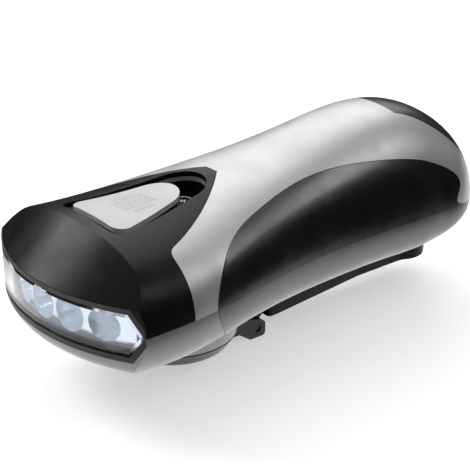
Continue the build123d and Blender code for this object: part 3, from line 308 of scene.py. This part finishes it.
# ---------------------------------------------------------------- floor
FLOOR_SIZE, FLOOR_DROP = 8, 0.1 * MM
SHADOW_LIFT = 0.5                        # glow for the eye, which softens the shadow
LIT, UNLIT = 1.2, 0.03                   # glow of a painted pool of light that gloss and glass see on the floor under the torch, and beside it
LIT_MIDDLE_X = -12 * MM
LIT_EDGE = (42 * MM, 87 * MM)            # distance along X from that middle where the light fades


def paper(name):
    """White paper that keeps shadows for the eye. Gloss and glass see a painted pool of light
    on it near the torch, dark to its sides, and from below it isn't there."""
    mat = shader(name, (0.86, 0.86, 0.86), 0.7)
    vary_color(mat, (0.85, 0.85, 0.85), (0.87, 0.87, 0.87), 0.2)
    tree = mat.node_tree
    link = tree.links.new
    path = tree.nodes.new("ShaderNodeLightPath")

    level = tree.nodes.new("ShaderNodeMath")
    level.operation = "MULTIPLY"
    level.inputs[1].default_value = SHADOW_LIFT
    glow = tree.nodes.new("ShaderNodeEmission")
    lifted = tree.nodes.new("ShaderNodeAddShader")
    link(path.outputs["Is Camera Ray"], level.inputs[0])
    link(level.outputs[0], glow.inputs["Strength"])
    link(principled(mat).outputs[0], lifted.inputs[0])
    link(glow.outputs[0], lifted.inputs[1])

    coord = tree.nodes.new("ShaderNodeTexCoord")
    split = tree.nodes.new("ShaderNodeSeparateXYZ")
    aside = tree.nodes.new("ShaderNodeMath")
    aside.inputs[1].default_value = -LIT_MIDDLE_X
    away = tree.nodes.new("ShaderNodeMath")
    away.operation = "ABSOLUTE"
    link(coord.outputs["Object"], split.inputs[0])
    link(split.outputs["X"], aside.inputs[0])
    link(aside.outputs[0], away.inputs[0])
    # painted pool of light, seen only by gloss and glass, bright near the torch and fading to its sides
    fade = map_range(tree, away.outputs[0], LIT_EDGE, (LIT, UNLIT))
    fade.interpolation_type = "SMOOTHSTEP"
    plain = tree.nodes.new("ShaderNodeEmission")
    link(fade.outputs["Result"], plain.inputs["Strength"])

    mirrored = tree.nodes.new("ShaderNodeMath")
    mirrored.operation = "MAXIMUM"
    above = tree.nodes.new("ShaderNodeMixShader")
    link(path.outputs["Is Glossy Ray"], mirrored.inputs[0])
    link(path.outputs["Is Transmission Ray"], mirrored.inputs[1])
    link(mirrored.outputs[0], above.inputs["Fac"])
    link(lifted.outputs[0], above.inputs[1])
    link(plain.outputs[0], above.inputs[2])

    side = tree.nodes.new("ShaderNodeNewGeometry")
    nothing = tree.nodes.new("ShaderNodeBsdfTransparent")
    sided = tree.nodes.new("ShaderNodeMixShader")
    link(side.outputs["Backfacing"], sided.inputs["Fac"])
    link(above.outputs[0], sided.inputs[1])
    link(nothing.outputs[0], sided.inputs[2])
    link(sided.outputs[0], tree.nodes["Material Output"].inputs["Surface"])
    return mat


bpy.ops.mesh.primitive_plane_add(size=FLOOR_SIZE, location=(0, 0, -FLOOR_DROP))
floor = bpy.context.object
floor.name = "floor"
floor.data.materials.append(paper("floor_paper"))


# ---------------------------------------------------------------- light
# the sky is dark at the horizon and pale overhead, and the eye sees it white
SKY = (0.25, (0.03, 0.03, 0.03)), (0.9, (0.6, 0.6, 0.6))

world = bpy.data.worlds.new("studio")
scene.world = world
world.use_nodes = True
tree = world.node_tree
sky = tree.nodes["Background"]
coord = tree.nodes.new("ShaderNodeTexCoord")
split = tree.nodes.new("ShaderNodeSeparateXYZ")
tree.links.new(coord.outputs["Generated"], split.inputs[0])
tree.links.new(ramp_color(tree, split.outputs["Z"], SKY), sky.inputs["Color"])
path = tree.nodes.new("ShaderNodeLightPath")
white = tree.nodes.new("ShaderNodeBackground")
white.inputs["Color"].default_value = (1, 1, 1, 1)
seen = tree.nodes.new("ShaderNodeMixShader")
tree.links.new(path.outputs["Is Camera Ray"], seen.inputs["Fac"])
tree.links.new(sky.outputs[0], seen.inputs[1])
tree.links.new(white.outputs[0], seen.inputs[2])
tree.links.new(seen.outputs[0], tree.nodes["World Output"].inputs["Surface"])


def softbox(name, spot, aim, size, watts):
    light = bpy.data.lights.new(name, "AREA")
    light.shape = "RECTANGLE"
    light.size, light.size_y = size
    light.energy = watts
    obj = bpy.data.objects.new(name, light)
    scene.collection.objects.link(obj)
    obj.location = spot
    obj.rotation_euler = (Vector(aim) - Vector(spot)).to_track_quat("-Z", "Y").to_euler()


softbox("key_box", (-0.78, 0.58, 0.86), (0, 0, 0.03), (1.3, 1.1), 8.0)
softbox("rim_box", (0.50, 0.50, 0.62), (0, 0, 0.03), (0.34, 0.34), 0.8)
softbox("brow_box", (-0.72, -0.36, 0.60), (0, -0.04, 0.03), (0.42, 0.34), 4.4)


# ---------------------------------------------------------------- camera
# where it stands, and where its target falls in the picture, and at what scale
AZIMUTH, ELEVATION = math.radians(50.74), math.radians(23.04)
TARGET = Vector((0, -1.0, 26.4)) * MM
DISTANCE, SENSOR = 0.3118, 36
PX_PER_MM, TARGET_PX, TARGET_PY, PICTURE = 4.014, 254.16, 224.44, 470

back = Vector((math.sin(AZIMUTH) * math.cos(ELEVATION), -math.cos(AZIMUTH) * math.cos(ELEVATION),
               math.sin(ELEVATION)))
right = Vector((math.cos(AZIMUTH), math.sin(AZIMUTH), 0))
camera = bpy.data.objects.new("camera", bpy.data.cameras.new("camera"))
scene.collection.objects.link(camera)
camera.location = TARGET + back * DISTANCE
camera.rotation_euler = Matrix((right, back.cross(right), back)).transposed().to_euler()
camera.data.sensor_width = SENSOR
camera.data.lens = PX_PER_MM * DISTANCE / MM * SENSOR / PICTURE
camera.data.shift_x = (PICTURE / 2 - TARGET_PX) / PICTURE
camera.data.shift_y = (TARGET_PY - PICTURE / 2) / PICTURE
camera.data.clip_start = 0.01
scene.camera = camera
scene.view_settings.view_transform = "Standard"
